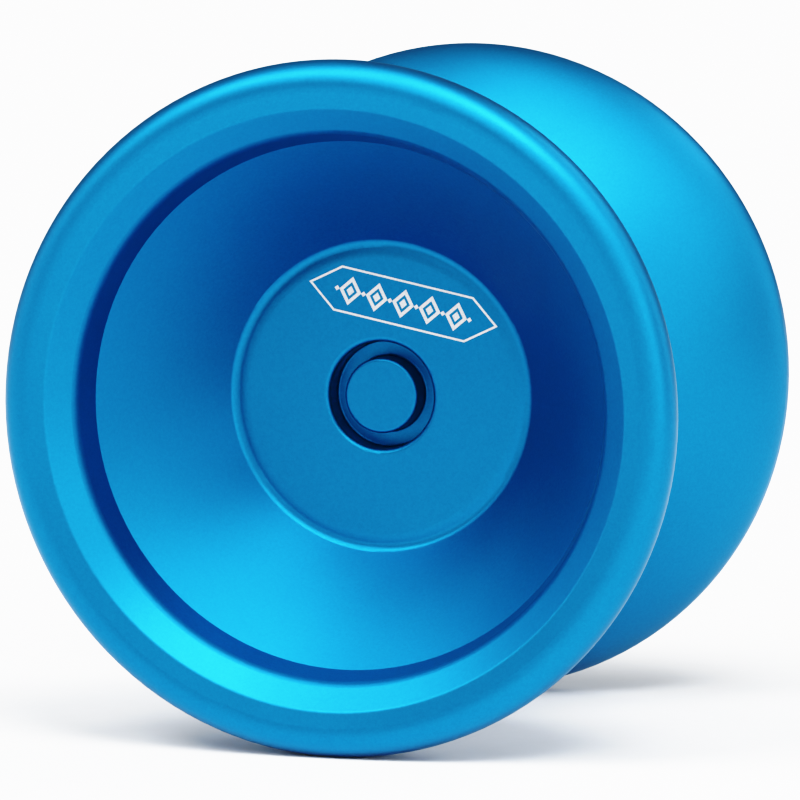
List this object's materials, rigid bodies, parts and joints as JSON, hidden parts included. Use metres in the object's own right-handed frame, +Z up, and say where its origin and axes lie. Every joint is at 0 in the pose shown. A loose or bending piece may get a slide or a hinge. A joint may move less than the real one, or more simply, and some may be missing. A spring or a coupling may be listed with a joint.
{
  "type": "yo-yo",
  "caption": "Butterfly yo-yo of two flared aluminium halves on a threaded axle and ball bearing, with deep cups, raised hub discs and silicone response pads.",
  "frame": {"origin": "centre of the axle, in the middle of the string gap", "axes": "+Y along the axle, towards the rear half; +Z up; the front half is on the -Y side"},
  "size_m": [0.056, 0.0446, 0.056],
  "materials": {
    "anodised_aluminium": "bead-blasted, satin cyan-blue anodising",
    "silicone": "matte white silicone",
    "axle_steel": "plain stainless steel, rolled thread",
    "bearing_steel": "ground and polished",
    "cage_steel": "pressed stainless steel",
    "ball_steel": "mirror polished",
    "shield_steel": "pressed sheet, satin",
    "spring_wire": "drawn wire"
  },
  "bodies": {
    "front_body": {"front_half": "anodised_aluminium", "front_pad": "silicone", "axle": "axle_steel"},
    "rear_body": {"rear_half": "anodised_aluminium", "rear_pad": "silicone"},
    "inner_race_body": {"inner_race": "bearing_steel"},
    "outer_race_body": {"outer_race": "bearing_steel", "front_shield": "shield_steel", "rear_shield": "shield_steel", "front_snap_ring": "spring_wire", "rear_snap_ring": "spring_wire"},
    "cage_body": {"ball_cage": "cage_steel"},
    "ball_1_body": {"ball_1": "ball_steel"},
    "ball_2_body": {"ball_2": "ball_steel"},
    "ball_3_body": {"ball_3": "ball_steel"},
    "ball_4_body": {"ball_4": "ball_steel"},
    "ball_5_body": {"ball_5": "ball_steel"},
    "ball_6_body": {"ball_6": "ball_steel"},
    "ball_7_body": {"ball_7": "ball_steel"},
    "ball_8_body": {"ball_8": "ball_steel"},
    "ball_9_body": {"ball_9": "ball_steel"},
    "ball_10_body": {"ball_10": "ball_steel"}
  },
  "joints": [
    {"name": "unscrew_turn", "type": "hinge", "parent": "front_body", "child": "inner_race_body", "pos_m": [0, 0, 0], "axis": [0, 1, 0], "range_deg": [0, 2340]},
    {"name": "rear_half_travel", "type": "slide", "parent": "inner_race_body", "child": "rear_body", "axis": [0, 1, 0], "range_m": [0, 0.0046]},
    {"name": "outer_race_spin", "type": "hinge", "parent": "inner_race_body", "child": "outer_race_body", "pos_m": [0, 0, 0], "axis": [0, 1, 0], "continuous": true},
    {"name": "cage_spin", "type": "hinge", "parent": "inner_race_body", "child": "cage_body", "pos_m": [0, 0, 0], "axis": [0, 1, 0], "continuous": true},
    {"name": "ball_1_spin", "type": "hinge", "parent": "cage_body", "child": "ball_1_body", "pos_m": [0.00476, 0, 0], "axis": [0, 1, 0], "continuous": true},
    {"name": "ball_2_spin", "type": "hinge", "parent": "cage_body", "child": "ball_2_body", "pos_m": [0.00385, 0, 0.0028], "axis": [0, 1, 0], "continuous": true},
    {"name": "ball_3_spin", "type": "hinge", "parent": "cage_body", "child": "ball_3_body", "pos_m": [0.00147, 0, 0.00453], "axis": [0, 1, 0], "continuous": true},
    {"name": "ball_4_spin", "type": "hinge", "parent": "cage_body", "child": "ball_4_body", "pos_m": [-0.00147, 0, 0.00453], "axis": [0, 1, 0], "continuous": true},
    {"name": "ball_5_spin", "type": "hinge", "parent": "cage_body", "child": "ball_5_body", "pos_m": [-0.00385, 0, 0.0028], "axis": [0, 1, 0], "continuous": true},
    {"name": "ball_6_spin", "type": "hinge", "parent": "cage_body", "child": "ball_6_body", "pos_m": [-0.00476, 0, 0], "axis": [0, 1, 0], "continuous": true},
    {"name": "ball_7_spin", "type": "hinge", "parent": "cage_body", "child": "ball_7_body", "pos_m": [-0.00385, 0, -0.0028], "axis": [0, 1, 0], "continuous": true},
    {"name": "ball_8_spin", "type": "hinge", "parent": "cage_body", "child": "ball_8_body", "pos_m": [-0.00147, 0, -0.00453], "axis": [0, 1, 0], "continuous": true},
    {"name": "ball_9_spin", "type": "hinge", "parent": "cage_body", "child": "ball_9_body", "pos_m": [0.00147, 0, -0.00453], "axis": [0, 1, 0], "continuous": true},
    {"name": "ball_10_spin", "type": "hinge", "parent": "cage_body", "child": "ball_10_body", "pos_m": [0.00385, 0, -0.0028], "axis": [0, 1, 0], "continuous": true}
  ],
  "couplings": [
    {"joint": "rear_half_travel", "follows": "unscrew_turn", "m_per_rad": 0.00011141},
    {"joint": "cage_spin", "follows": "outer_race_spin", "ratio": 0.60499},
    {"joint": "ball_1_spin", "follows": "outer_race_spin", "ratio": 2.2763},
    {"joint": "ball_2_spin", "follows": "outer_race_spin", "ratio": 2.2763},
    {"joint": "ball_3_spin", "follows": "outer_race_spin", "ratio": 2.2763},
    {"joint": "ball_4_spin", "follows": "outer_race_spin", "ratio": 2.2763},
    {"joint": "ball_5_spin", "follows": "outer_race_spin", "ratio": 2.2763},
    {"joint": "ball_6_spin", "follows": "outer_race_spin", "ratio": 2.2763},
    {"joint": "ball_7_spin", "follows": "outer_race_spin", "ratio": 2.2763},
    {"joint": "ball_8_spin", "follows": "outer_race_spin", "ratio": 2.2763},
    {"joint": "ball_9_spin", "follows": "outer_race_spin", "ratio": 2.2763},
    {"joint": "ball_10_spin", "follows": "outer_race_spin", "ratio": 2.2763}
  ]
}
